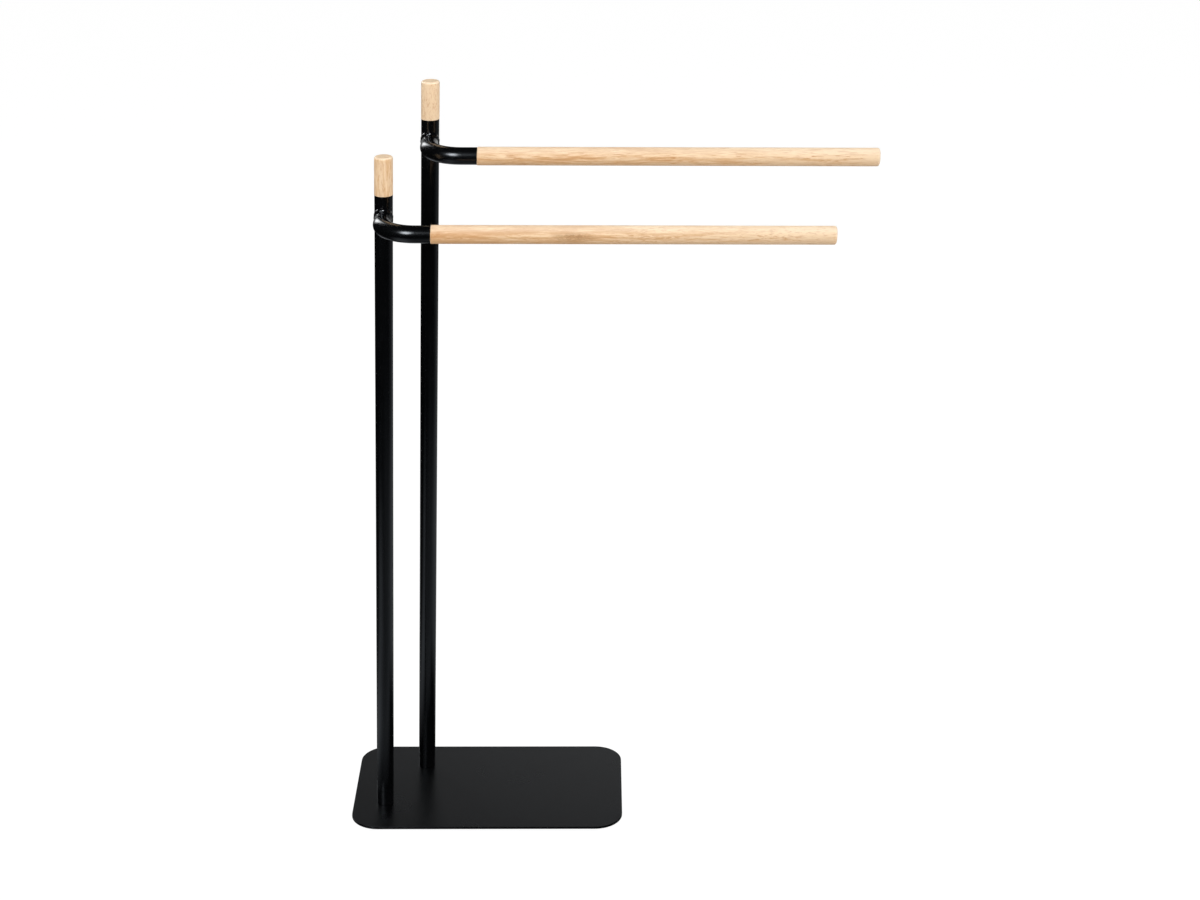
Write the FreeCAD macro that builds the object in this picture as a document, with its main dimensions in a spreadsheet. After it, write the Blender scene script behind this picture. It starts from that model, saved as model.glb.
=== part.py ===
import FreeCAD, Part
import Sketcher
import math
import os

# Freestanding towel stand: a flat steel base plate on four rubber pads, two round steel posts
# of different heights, and on each post a bent arm that carries a wooden towel bar.
# X runs along the bars, Y from the front to the back, and Z up. The origin is on the floor,
# under the middle of the stand's overall box. All sizes are in millimetres.

sizes = [
    ("plateWidth", 305, "base plate, left to right"),
    ("plateDepth", 180, "base plate, front to back"),
    ("plateThickness", 2.5, "base plate, sheet thickness"),
    ("plateCornerRadius", 31, "base plate, corners seen from above"),
    ("plateEdgeRound", 0.5, "base plate, rolled top edge"),
    ("padDiameter", 18, "rubber pad"),
    ("padHeight", 3, "rubber pad, lifts the plate off the floor"),
    ("padEdgeRound", 0.8, "rubber pad, lower edge"),
    ("padInset", 25, "pad centre to the two nearest plate edges"),
    ("postDiameter", 19, "post tube, outside"),
    ("postWall", 1.2, "post tube, wall"),
    ("frontPostHeight", 716, "front post, plate to the cap's shoulder"),
    ("rearPostHeight", 774, "rear post, plate to the cap's shoulder"),
    ("frontPostLeft", 117, "front post axis, left of the plate's centre"),
    ("frontPostForward", 35, "front post axis, in front of the plate's centre"),
    ("rearPostLeft", 75, "rear post axis, left of the plate's centre"),
    ("rearPostBack", 48, "rear post axis, behind the plate's centre"),
    ("tubeEndRound", 0.3, "post and arm tubes, rounded outer edge of a cut end"),
    ("armStepDown", 1, "arm tube, how much thinner than the post"),
    ("armWall", 1.2, "arm tube, wall"),
    ("armDrop", 23.7, "arm axis, below the post's top end"),
    ("armReach", 59, "arm axis, forward of the post's axis"),
    ("armBendRadius", 36, "arm, bend along the tube's centre line"),
    ("armLength", 52, "arm end, to the right of the post's axis"),
    ("weldRootGap", 0.2, "gap between the coped arm and the post"),
    ("weldLeg", 3, "weld bead, reach along each tube"),
    ("weldCrown", 0.6, "weld bead, rise of its rounded face"),
    ("weldSkin", 0.05, "weld bead, off the surface of each tube"),
    ("threadDiameter", 6, "screws and studs, outside"),
    ("threadRoom", 0.1, "threads, radial room"),
    ("plugRoom", 0.1, "plugs, radial room in the tubes"),
    ("plugChamfer", 0.8, "plugs, inner end"),
    ("footPlugLength", 16, "threaded plug in the post's foot"),
    ("armPlugLength", 14, "threaded plug in the arm's end"),
    ("screwHoleRoom", 0.3, "plate holes, radial room"),
    ("screwLength", 15, "foot screw, under the head"),
    ("screwTipChamfer", 0.8, "foot screws and studs, ends"),
    ("screwHeadDiameter", 14, "foot screw, flat head"),
    ("screwHeadHeight", 2, "foot screw, flat head"),
    ("screwHeadRound", 0.6, "foot screw, lower edge of the head"),
    ("socketAcross", 4, "foot screw, hexagon socket across flats"),
    ("socketDepth", 2.6, "foot screw, hexagon socket"),
    ("studInArm", 12, "bar stud, in the arm's plug"),
    ("studInWood", 25, "bar stud, in the wooden bar"),
    ("studEndRoom", 1, "bar stud, room at the bottom of the bar's hole"),
    ("barDiameter", 19, "wooden bar"),
    ("frontBarLength", 407.5, "front wooden bar, shoulder to free end"),
    ("rearBarLength", 413.5, "rear wooden bar, shoulder to free end"),
    ("barEndRound", 2.4, "wooden bar, free end"),
    ("barShoulderChamfer", 0.5, "wooden bar, end at the arm"),
    ("capDiameter", 19.2, "wooden cap"),
    ("capHeight", 40.5, "wooden cap, above the post"),
    ("capTopRound", 2.3, "wooden cap, top edge"),
    ("capShoulderChamfer", 0.4, "wooden cap, lower edge"),
    ("capSpigotLength", 15, "wooden cap, spigot in the post"),
    ("capSpigotRoom", 0.15, "wooden cap, radial glue room of the spigot"),
    ("capSpigotChamfer", 1, "wooden cap, end of the spigot"),
]

doc = FreeCAD.newDocument("TowelStand")
sheet = doc.addObject("Spreadsheet::Sheet", "Sizes")
for row, (alias, value, note) in enumerate(sizes, start=1):
    sheet.set("A%d" % row, alias)
    sheet.set("B%d" % row, str(value))
    sheet.setAlias("B%d" % row, alias)
    sheet.set("C%d" % row, note)
doc.recompute()

# Radii and places that several pieces share.
postRadius = "(Sizes.postDiameter / 2)"
postBore = "(Sizes.postDiameter / 2 - Sizes.postWall)"
armRadius = "((Sizes.postDiameter - Sizes.armStepDown) / 2)"
armBore = "((Sizes.postDiameter - Sizes.armStepDown) / 2 - Sizes.armWall)"
threadRadius = "(Sizes.threadDiameter / 2)"
threadedHole = "(Sizes.threadDiameter / 2 + Sizes.threadRoom)"
plateTop = "(Sizes.padHeight + Sizes.plateThickness)"

# The overall box runs from the plate's left edge to the rear bar's free end, and from the
# front bar's front side to the plate's rear edge. Its middle is the origin.
rearBarEnd = "(Sizes.armLength + Sizes.rearBarLength - Sizes.rearPostLeft)"
frontBarFace = "(Sizes.frontPostForward + Sizes.armReach + Sizes.barDiameter / 2)"
plateX = "((Sizes.plateWidth / 2 - %s) / 2)" % rearBarEnd
plateY = "((%s - Sizes.plateDepth / 2) / 2)" % frontBarFace

# Each post's axis is given from the plate's centre, across to the right and towards the back.
posts = {
    "front": {
        "across": "-Sizes.frontPostLeft",
        "back": "-Sizes.frontPostForward",
        "height": "Sizes.frontPostHeight",
        "barLength": "Sizes.frontBarLength",
    },
    "rear": {
        "across": "-Sizes.rearPostLeft",
        "back": "Sizes.rearPostBack",
        "height": "Sizes.rearPostHeight",
        "barLength": "Sizes.rearBarLength",
    },
}
for post in posts.values():
    post["x"] = "(%s + (%s))" % (plateX, post["across"])
    post["y"] = "(%s + (%s))" % (plateY, post["back"])
    post["top"] = "(%s + %s)" % (plateTop, post["height"])
    post["armZ"] = "(%s - Sizes.armDrop)" % post["top"]
    post["armEndX"] = "(%s + Sizes.armLength)" % post["x"]
    post["barY"] = "(%s - Sizes.armReach)" % post["y"]

tolerance = 0.001
smallestCut = 1
subParts = []


# Puts a piece at its place in the stand and lists it.
def place(part, x, y, z):
    part.setExpression("Placement.Base.x", x)
    part.setExpression("Placement.Base.y", y)
    part.setExpression("Placement.Base.z", z)
    subParts.append(part)


def newBody(name):
    body = doc.addObject("PartDesign::Body", name)
    body.Label = name
    return body


# A sketch or a ready-made form on one of the body's own planes, lifted along the plane's normal.
def newOnPlane(body, kind, name, role, lift="0"):
    item = body.newObject(kind, name)
    plane = [feature for feature in body.Origin.OriginFeatures if feature.Role == role][0]
    item.AttachmentSupport = [(plane, "")]
    item.MapMode = "FlatFace"
    item.setExpression("AttachmentOffset.Base.z", lift)
    return item


def newSketch(body, name, role, lift="0"):
    return newOnPlane(body, "Sketcher::SketchObject", name, role, lift)


def bind(sketch, constraint, expression):
    index = sketch.addConstraint(constraint)
    sketch.setExpression("Constraints[%d]" % index, expression)


def addCircle(sketch, radius):
    circle = sketch.addGeometry(Part.Circle(), False)
    bind(sketch, Sketcher.Constraint("Radius", circle, 1.0), radius)
    return circle


def addCentredCircle(sketch, radius):
    circle = addCircle(sketch, radius)
    sketch.addConstraint(Sketcher.Constraint("Coincident", circle, 3, -1, 1))


# A cut has to take material away.
def checkCut(body, feature, volumeBefore):
    doc.recompute()
    if feature.Shape.Volume > volumeBefore - smallestCut:
        raise RuntimeError("%s of %s cuts nothing" % (feature.Label, body.Label))


def extrude(body, kind, name, sketch, length, reverse=False):
    before = body.Shape.Volume if kind == "Pocket" else 0
    feature = body.newObject("PartDesign::" + kind, name)
    feature.Profile = sketch
    feature.Reversed = reverse
    feature.setExpression("Length", length)
    doc.recompute()
    if kind == "Pocket":
        checkCut(body, feature, before)


# A pad of one circle, or of a ring where a bore is given.
def cylinder(body, name, role, radius, length, bore=None, lift="0", reverse=False):
    sketch = newSketch(body, name + "Outline", role, lift)
    addCentredCircle(sketch, radius)
    if bore:
        addCentredCircle(sketch, bore)
    extrude(body, "Pad", name, sketch, length, reverse)


# A fillet or a chamfer on the given edges of the body's tip.
def dress(body, kind, name, size, edges):
    base = body.Tip
    feature = body.newObject("PartDesign::" + kind, name)
    feature.Base = (base, edges)
    feature.setExpression("Radius" if kind == "Fillet" else "Size", size)
    doc.recompute()


# The outer circular edge at one end of the body's tip, seen along an axis.
def endRing(body, axis, high):
    shape = body.Tip.Shape
    box = shape.BoundBox
    ends = {"X": (box.XMin, box.XMax), "Y": (box.YMin, box.YMax), "Z": (box.ZMin, box.ZMax)}
    level = ends[axis][1 if high else 0]
    rings = []
    for number, edge in enumerate(shape.Edges, start=1):
        if isinstance(edge.Curve, Part.Circle):
            centre = edge.Curve.Center
            along = {"X": centre.x, "Y": centre.y, "Z": centre.z}[axis]
            if abs(along - level) < tolerance:
                rings.append((edge.Curve.Radius, "Edge%d" % number))
    return [max(rings)[1]]


# Base plate: one sheet with rounded corners, a softened top edge and a screw hole under each
# post.
def makeBasePlate():
    body = newBody("base_plate")
    outline = newSketch(body, "plateOutline", "XY_Plane")
    halfWidth = sheet.get("plateWidth") / 2
    halfDepth = sheet.get("plateDepth") / 2
    radius = sheet.get("plateCornerRadius")
    left, right = radius - halfWidth, halfWidth - radius
    near, far = radius - halfDepth, halfDepth - radius
    ends = [
        ((left, -halfDepth), (right, -halfDepth)),
        ((halfWidth, near), (halfWidth, far)),
        ((right, halfDepth), (left, halfDepth)),
        ((-halfWidth, far), (-halfWidth, near)),
    ]
    centres = [(right, near), (right, far), (left, far), (left, near)]
    sides = []
    corners = []
    for turn in range(4):
        first, last = [FreeCAD.Vector(x, y, 0) for x, y in ends[turn]]
        sides.append(outline.addGeometry(Part.LineSegment(first, last), False))
        middle = FreeCAD.Vector(centres[turn][0], centres[turn][1], 0)
        circle = Part.Circle(middle, FreeCAD.Vector(0, 0, 1), radius)
        start = (turn - 1) * math.pi / 2
        corner = Part.ArcOfCircle(circle, start, start + math.pi / 2)
        corners.append(outline.addGeometry(corner, False))
    for turn in range(4):
        straight = "Horizontal" if turn % 2 == 0 else "Vertical"
        outline.addConstraint(Sketcher.Constraint(straight, sides[turn]))
        outline.addConstraint(Sketcher.Constraint("Tangent", sides[turn], 2, corners[turn], 1))
        following = sides[(turn + 1) % 4]
        outline.addConstraint(Sketcher.Constraint("Tangent", corners[turn], 2, following, 1))
    for corner in corners[1:]:
        outline.addConstraint(Sketcher.Constraint("Equal", corners[0], corner))
    middle = Sketcher.Constraint("Symmetric", corners[0], 3, corners[2], 3, -1, 1)
    outline.addConstraint(middle)
    width = Sketcher.Constraint("DistanceX", sides[3], 1, sides[1], 1, 2 * halfWidth)
    bind(outline, width, "Sizes.plateWidth")
    depth = Sketcher.Constraint("DistanceY", sides[0], 1, sides[2], 1, 2 * halfDepth)
    bind(outline, depth, "Sizes.plateDepth")
    bind(outline, Sketcher.Constraint("Radius", corners[0], radius), "Sizes.plateCornerRadius")
    extrude(body, "Pad", "plateSheet", outline, "Sizes.plateThickness")

    sheetShape = body.Tip.Shape
    top = sheetShape.BoundBox.ZMax
    rim = []
    for number, edge in enumerate(sheetShape.Edges, start=1):
        if all(abs(vertex.Z - top) < tolerance for vertex in edge.Vertexes):
            rim.append("Edge%d" % number)
    dress(body, "Fillet", "plateEdge", "Sizes.plateEdgeRound", rim)

    holes = newSketch(body, "screwHoles", "XY_Plane")
    for post in posts.values():
        hole = addCircle(holes, threadRadius + " + Sizes.screwHoleRoom")
        bind(holes, Sketcher.Constraint("DistanceX", -1, 1, hole, 3, 0.0), post["across"])
        bind(holes, Sketcher.Constraint("DistanceY", -1, 1, hole, 3, 0.0), post["back"])
    extrude(body, "Pocket", "screwHolesCut", holes, "Sizes.plateThickness", reverse=True)
    place(body, plateX, plateY, "Sizes.padHeight")


# Rubber pads: one glued under each corner of the plate.
def makeFootPads():
    for end, towardsBack in (("front", -1), ("rear", 1)):
        for side, towardsRight in (("left", -1), ("right", 1)):
            body = newBody("foot_pad_%s_%s" % (end, side))
            cylinder(body, "padDisc", "XY_Plane", "Sizes.padDiameter / 2", "Sizes.padHeight")
            dress(body, "Fillet", "padEdge", "Sizes.padEdgeRound", endRing(body, "Z", False))
            x = "%s + %d * (Sizes.plateWidth / 2 - Sizes.padInset)" % (plateX, towardsRight)
            y = "%s + %d * (Sizes.plateDepth / 2 - Sizes.padInset)" % (plateY, towardsBack)
            place(body, x, y, "0")


# Foot fixing: a threaded plug in the tube's foot and a flat-headed screw from under the plate.
def makeFootFixing(end, post):
    plug = newBody(end + "_post_plug")
    outside = postBore + " - Sizes.plugRoom"
    cylinder(plug, "plugRing", "XY_Plane", outside, "Sizes.footPlugLength", bore=threadedHole)
    dress(plug, "Chamfer", "plugLead", "Sizes.plugChamfer", endRing(plug, "Z", True))
    place(plug, post["x"], post["y"], plateTop)

    screw = newBody(end + "_foot_screw")
    headRadius = "Sizes.screwHeadDiameter / 2"
    cylinder(screw, "head", "XY_Plane", headRadius, "Sizes.screwHeadHeight", reverse=True)
    dress(screw, "Fillet", "headEdge", "Sizes.screwHeadRound", endRing(screw, "Z", False))
    cylinder(screw, "shank", "XY_Plane", threadRadius, "Sizes.screwLength")
    dress(screw, "Chamfer", "tip", "Sizes.screwTipChamfer", endRing(screw, "Z", True))
    solid = screw.Shape.Volume
    underHead = "-Sizes.screwHeadHeight"
    socket = newOnPlane(screw, "PartDesign::SubtractivePrism", "socket", "XY_Plane", underHead)
    socket.Polygon = 6
    socket.setExpression("Circumradius", "Sizes.socketAcross / sqrt(3)")
    socket.setExpression("Height", "Sizes.socketDepth")
    checkCut(screw, socket, solid)
    place(screw, post["x"], post["y"], "Sizes.padHeight")


# Post: a straight tube that stands on the plate.
def makePost(end, post):
    body = newBody(end + "_post")
    cylinder(body, "tube", "XY_Plane", postRadius, post["height"], bore=postBore)
    for name, high in (("foot", False), ("top", True)):
        dress(body, "Fillet", name, "Sizes.tubeEndRound", endRing(body, "Z", high))
    place(body, post["x"], post["y"], plateTop)


# Arm: a tube that leaves the front of the post, bends a quarter turn to the right and ends
# in line with the bar. Its root is coped to the round of the post.
def makeArm(end, post):
    body = newBody(end + "_arm")
    reach = sheet.get("armReach")
    bend = sheet.get("armBendRadius")
    length = sheet.get("armLength")
    path = newSketch(body, "centreLine", "XY_Plane")
    root = FreeCAD.Vector(0, 0, 0)
    bendStart = FreeCAD.Vector(0, bend - reach, 0)
    bendEnd = FreeCAD.Vector(bend, -reach, 0)
    tubeEnd = FreeCAD.Vector(length, -reach, 0)
    circle = Part.Circle(FreeCAD.Vector(bend, bend - reach, 0), FreeCAD.Vector(0, 0, 1), bend)
    forward = path.addGeometry(Part.LineSegment(root, bendStart), False)
    turn = path.addGeometry(Part.ArcOfCircle(circle, math.pi, 1.5 * math.pi), False)
    sideways = path.addGeometry(Part.LineSegment(bendEnd, tubeEnd), False)
    path.addConstraint(Sketcher.Constraint("Coincident", forward, 1, -1, 1))
    path.addConstraint(Sketcher.Constraint("Vertical", forward))
    path.addConstraint(Sketcher.Constraint("Tangent", forward, 2, turn, 1))
    path.addConstraint(Sketcher.Constraint("Tangent", turn, 2, sideways, 1))
    path.addConstraint(Sketcher.Constraint("Horizontal", sideways))
    bind(path, Sketcher.Constraint("Radius", turn, bend), "Sizes.armBendRadius")
    bind(path, Sketcher.Constraint("DistanceY", sideways, 2, -1, 1, reach), "Sizes.armReach")
    bind(path, Sketcher.Constraint("DistanceX", -1, 1, sideways, 2, length), "Sizes.armLength")

    section = newSketch(body, "tubeSection", "XZ_Plane")
    addCentredCircle(section, armRadius)
    addCentredCircle(section, armBore)
    tube = body.newObject("PartDesign::AdditivePipe", "bentTube")
    tube.Profile = section
    tube.Spine = (path, ["Edge1", "Edge2", "Edge3"])
    doc.recompute()
    dress(body, "Fillet", "barEnd", "Sizes.tubeEndRound", endRing(body, "X", True))

    uncoped = body.Shape.Volume
    underTube = "-Sizes.postDiameter"
    cope = newOnPlane(body, "PartDesign::SubtractiveCylinder", "cope", "XY_Plane", underTube)
    cope.setExpression("Radius", postRadius + " + Sizes.weldRootGap")
    cope.setExpression("Height", "2 * Sizes.postDiameter")
    checkCut(body, cope, uncoped)
    place(body, post["x"], post["y"], post["armZ"])


# One section of the weld bead, at an angle round the arm: a corner in the root of the joint, a
# foot on each tube and a rounded face between them.
def weldSection(angle):
    around = sheet.get("postDiameter") / 2
    rise = (sheet.get("postDiameter") - sheet.get("armStepDown")) / 2
    leg = sheet.get("weldLeg")
    skin = sheet.get("weldSkin")
    armOut = FreeCAD.Vector(math.cos(angle), 0, math.sin(angle))
    side = rise * math.cos(angle)
    root = FreeCAD.Vector(side, -math.sqrt(around ** 2 - side ** 2), rise * math.sin(angle))
    postOut = FreeCAD.Vector(root.x, root.y, 0).normalize()
    alongPost = (armOut - postOut * armOut.dot(postOut)).normalize()
    outward = (armOut + postOut).normalize()
    foot = root + alongPost * leg
    onPost = FreeCAD.Vector(foot.x, foot.y, 0).normalize() * (around + skin)
    onPost.z = foot.z
    onArm = root + armOut * skin - FreeCAD.Vector(0, leg, 0)
    corner = root + outward * math.sqrt(2) * skin
    crown = (onPost + onArm) / 2 + outward * sheet.get("weldCrown")
    face = Part.Arc(onPost, crown, onArm).toShape()
    return Part.Wire([Part.makeLine(corner, onPost), face, Part.makeLine(onArm, corner)])


# Weld bead: it follows the saddle line where the arm meets the post, which no flat sketch can
# hold. The right half is lofted from the top of the arm to its underside and then mirrored.
def makeWeldBead(end, post):
    steps = 16
    angles = [math.pi / 2 - math.pi * step / steps for step in range(steps + 1)]
    right = Part.makeLoft([weldSection(angle) for angle in angles], True)
    left = right.mirror(FreeCAD.Vector(0, 0, 0), FreeCAD.Vector(1, 0, 0))
    weld = doc.addObject("Part::Feature", end + "_arm_weld")
    weld.Label = end + "_arm_weld"
    weld.Shape = right.fuse(left).removeSplitter().Solids[0]
    place(weld, post["x"], post["y"], post["armZ"])


# Bar fixing: a threaded plug flush with the arm's end and a stud that the bar is turned onto.
def makeBarFixing(end, post):
    plug = newBody(end + "_arm_plug")
    outside = armBore + " - Sizes.plugRoom"
    cylinder(plug, "plugRing", "YZ_Plane", outside, "Sizes.armPlugLength", threadedHole, reverse=True)
    dress(plug, "Chamfer", "plugLead", "Sizes.plugChamfer", endRing(plug, "X", False))
    place(plug, post["armEndX"], post["barY"], post["armZ"])

    stud = newBody(end + "_bar_stud")
    length = "Sizes.studInArm + Sizes.studInWood"
    cylinder(stud, "rod", "YZ_Plane", threadRadius, length, lift="-Sizes.studInArm")
    for tip, high in (("armTip", False), ("woodTip", True)):
        dress(stud, "Chamfer", tip, "Sizes.screwTipChamfer", endRing(stud, "X", high))
    place(stud, post["armEndX"], post["barY"], post["armZ"])


# Bar: a turned wooden rod with a chamfered shoulder, a rounded free end and a stud hole.
def makeBar(end, post):
    body = newBody(end + "_bar")
    cylinder(body, "rod", "YZ_Plane", "Sizes.barDiameter / 2", post["barLength"])
    dress(body, "Fillet", "freeEnd", "Sizes.barEndRound", endRing(body, "X", True))
    dress(body, "Chamfer", "shoulder", "Sizes.barShoulderChamfer", endRing(body, "X", False))
    hole = newSketch(body, "studHole", "YZ_Plane")
    addCentredCircle(hole, threadedHole)
    depth = "Sizes.studInWood + Sizes.studEndRoom"
    extrude(body, "Pocket", "studHoleCut", hole, depth, reverse=True)
    place(body, post["armEndX"], post["barY"], post["armZ"])


# Cap: a turned wooden plug that carries the post's line on, with a spigot glued in the tube.
def makeCap(end, post):
    body = newBody(end + "_cap")
    cylinder(body, "head", "XY_Plane", "Sizes.capDiameter / 2", "Sizes.capHeight")
    dress(body, "Fillet", "topEdge", "Sizes.capTopRound", endRing(body, "Z", True))
    dress(body, "Chamfer", "shoulder", "Sizes.capShoulderChamfer", endRing(body, "Z", False))
    spigotRadius = postBore + " - Sizes.capSpigotRoom"
    cylinder(body, "spigot", "XY_Plane", spigotRadius, "Sizes.capSpigotLength", reverse=True)
    dress(body, "Chamfer", "spigotLead", "Sizes.capSpigotChamfer", endRing(body, "Z", False))
    place(body, post["x"], post["y"], post["top"])


makeBasePlate()
makeFootPads()
for end, post in posts.items():
    makeFootFixing(end, post)
    makePost(end, post)
    makeArm(end, post)
    makeWeldBead(end, post)
    makeBarFixing(end, post)
    makeBar(end, post)
    makeCap(end, post)
doc.recompute()

for item in doc.Objects:
    if "Invalid" in item.State or "Error" in item.State:
        raise RuntimeError("%s failed: %s" % (item.Label, item.State))
for part in subParts:
    if part.Shape.isNull() or not part.Shape.isValid() or len(part.Shape.Solids) != 1:
        raise RuntimeError("%s is not one valid solid" % part.Label)

os.makedirs("parts", exist_ok=True)
whole = FreeCAD.BoundBox()
for part in subParts:
    part.Shape.exportStep("parts/%s.step" % part.Label)
    whole.add(part.Shape.optimalBoundingBox())
    print("%-22s %10.1f mm3" % (part.Label, part.Shape.Volume))
print("x %.2f to %.2f" % (whole.XMin, whole.XMax))
print("y %.2f to %.2f" % (whole.YMin, whole.YMax))
print("z %.2f to %.2f" % (whole.ZMin, whole.ZMax))
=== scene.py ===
import math

import bmesh
import bpy
from mathutils import Matrix, Vector


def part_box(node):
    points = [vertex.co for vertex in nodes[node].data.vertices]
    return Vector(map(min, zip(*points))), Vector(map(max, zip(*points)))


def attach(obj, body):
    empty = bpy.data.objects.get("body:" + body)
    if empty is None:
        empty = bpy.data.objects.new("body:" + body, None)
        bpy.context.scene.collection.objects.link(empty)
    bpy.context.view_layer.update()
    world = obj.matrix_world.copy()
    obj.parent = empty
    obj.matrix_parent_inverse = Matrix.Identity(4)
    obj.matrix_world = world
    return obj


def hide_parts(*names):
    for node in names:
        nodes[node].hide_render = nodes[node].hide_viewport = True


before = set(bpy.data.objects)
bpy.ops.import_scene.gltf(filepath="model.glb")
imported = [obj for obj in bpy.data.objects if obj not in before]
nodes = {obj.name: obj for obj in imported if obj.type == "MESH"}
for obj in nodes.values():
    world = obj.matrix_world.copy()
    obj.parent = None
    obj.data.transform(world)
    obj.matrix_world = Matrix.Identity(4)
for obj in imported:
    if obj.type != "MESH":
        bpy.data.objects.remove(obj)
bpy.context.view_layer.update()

# A freestanding towel stand: a satin black plate, two glossy black posts with a bent arm each,
# and pale wooden towel bars and post caps. Everything is in metres, in the frame's own axes:
# X runs along the bars, Y from the front to the back, Z up.

ends = ("front", "rear")
print("stage 1: the frame is loaded,", len(nodes), "pieces")


# Links a socket into an input, or sets a plain value there.
def plug(tree, value, socket):
    if isinstance(value, bpy.types.NodeSocket):
        tree.links.new(value, socket)
    else:
        socket.default_value = value


def setInputs(tree, node, inputs):
    for key, value in inputs.items():
        plug(tree, value, node.inputs[key])


# A node with its settings, and its inputs by name or number.
def addNode(tree, kind, inputs=None, **settings):
    node = tree.nodes.new(kind)
    for key, value in settings.items():
        setattr(node, key, value)
    setInputs(tree, node, inputs or {})
    return node


def calc(tree, operation, *values, clamp=False):
    inputs = dict(enumerate(values))
    return addNode(tree, "ShaderNodeMath", inputs, operation=operation, use_clamp=clamp).outputs[0]


def total(tree, first, *others):
    for value in others:
        first = calc(tree, "ADD", first, value)
    return first


def product(tree, first, *others):
    for value in others:
        first = calc(tree, "MULTIPLY", first, value)
    return first


def squared(tree, value):
    return product(tree, value, value)


# The second value of SCALE is a number, which has a socket further on.
def calcVector(tree, operation, *values):
    sockets = (0, 3) if operation == "SCALE" else range(len(values))
    node = addNode(tree, "ShaderNodeVectorMath", dict(zip(sockets, values)), operation=operation)
    return node.outputs["Value" if operation in ("DOT_PRODUCT", "LENGTH", "DISTANCE") else "Vector"]


def separate(tree, vector):
    return addNode(tree, "ShaderNodeSeparateXYZ", {0: vector}).outputs


def combine(tree, x=0.0, y=0.0, z=0.0):
    return addNode(tree, "ShaderNodeCombineXYZ", {"X": x, "Y": y, "Z": z}).outputs[0]


# A number moved from one range to another, with soft ends.
def remap(tree, value, fromLow, fromHigh, toLow, toHigh):
    inputs = {"Value": value, "From Min": fromLow, "From Max": fromHigh, "To Min": toLow, "To Max": toHigh}
    return addNode(tree, "ShaderNodeMapRange", inputs, interpolation_type="SMOOTHSTEP").outputs[0]


# Noise lies mostly between 0.3 and 0.7. This spreads it over a range of its own.
def spread(tree, value, low, high):
    return remap(tree, value, 0.3, 0.7, low, high)


# How far a number has come from one value to another, from 0 to 1.
def progress(tree, value, start, finish):
    inputs = {"Value": value, "From Min": start, "From Max": finish}
    return addNode(tree, "ShaderNodeMapRange", inputs).outputs[0]


def noise(tree, vector, scale, detail=2.0, roughness=0.5, distortion=0.0):
    inputs = {"Vector": vector, "Scale": scale, "Detail": detail, "Roughness": roughness,
              "Distortion": distortion}
    return addNode(tree, "ShaderNodeTexNoise", inputs).outputs[0]


# A blend of two colours or two vectors. The node has sockets for every kind of value, told apart
# by their identifiers.
def mix(tree, kind, amount, first, second):
    node = addNode(tree, "ShaderNodeMix", data_type=kind)
    sockets = {socket.identifier: socket for socket in (*node.inputs, *node.outputs)}
    ending = "Color" if kind == "RGBA" else "Vector"
    plug(tree, amount, sockets["Factor_Float"])
    plug(tree, first, sockets["A_" + ending])
    plug(tree, second, sockets["B_" + ending])
    return sockets["Result_" + ending]


def blendColours(tree, amount, first, second):
    first, second = [colour if isinstance(colour, bpy.types.NodeSocket) else (*colour, 1.0)
                     for colour in (first, second)]
    return mix(tree, "RGBA", amount, first, second)


def colourRamp(tree, value, stops):
    node = addNode(tree, "ShaderNodeValToRGB", {"Fac": value})
    ramp = node.color_ramp
    while len(ramp.elements) < len(stops):
        ramp.elements.new(0.5)
    for element, (place, colour) in zip(ramp.elements, stops):
        element.position = place
        element.color = (*colour, 1.0)
    return node.outputs["Color"]


# A new material: its tree, its shader and the piece's own coordinates, centred and turned.
def newMaterial(name, centre=(0, 0, 0), turn=(0, 0, 0)):
    material = bpy.data.materials.new(name)
    material.use_nodes = True
    tree = material.node_tree
    shader = tree.nodes["Principled BSDF"]
    place = addNode(tree, "ShaderNodeTexCoord").outputs["Object"]
    inputs = {"Vector": place, "Location": centre, "Rotation": turn}
    vector = addNode(tree, "ShaderNodeMapping", inputs, vector_type="TEXTURE").outputs[0]
    return material, tree, shader, vector


def bump(tree, shader, height, distance, strength=1.0):
    inputs = {"Height": height, "Distance": distance, "Strength": strength}
    tree.links.new(addNode(tree, "ShaderNodeBump", inputs).outputs[0], shader.inputs["Normal"])


def dress(name, material):
    node = nodes[name]
    if not node.material_slots:
        node.data.materials.append(material)
    for slot in node.material_slots:
        slot.material = material


# Black tubes: smooth glossy powder coat, rubbed in places, with dust just above the plate. In all
# the finishes a size is in waves per metre, and four numbers are a range and what its two ends
# become.
tubeFinish = {
    "colour": (0.0013, 0.0014, 0.0017),
    "worn": (0.0065, 0.0065, 0.007),
    "sheen": (0.82, 0.91, 1.0),
    "gloss": 0.5,
    "roughness": (0.20, 0.27),
    "coat": 0.4,
    "coatRoughness": 0.14,
    "cloudSize": 38,
    "speckSize": 1900,
    "rubPatches": (0.52, 0.72, 0, 1),
    "rubSpecks": (0.5, 0.7, 0, 0.3),
    "dustSpecks": (0.42, 0.66, 0, 0.6),
    "dustHeight": 0.03,
    "dustRoughness": 0.2,
    "peelSize": 420,          # orange peel
    "peelDepth": 0.000007,
}
# the same coat lies thicker and glossier over the weld
weldFinish = dict(tubeFinish, roughness=(0.15, 0.21), gloss=1.0, coat=1.0, coatRoughness=0.11)


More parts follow.
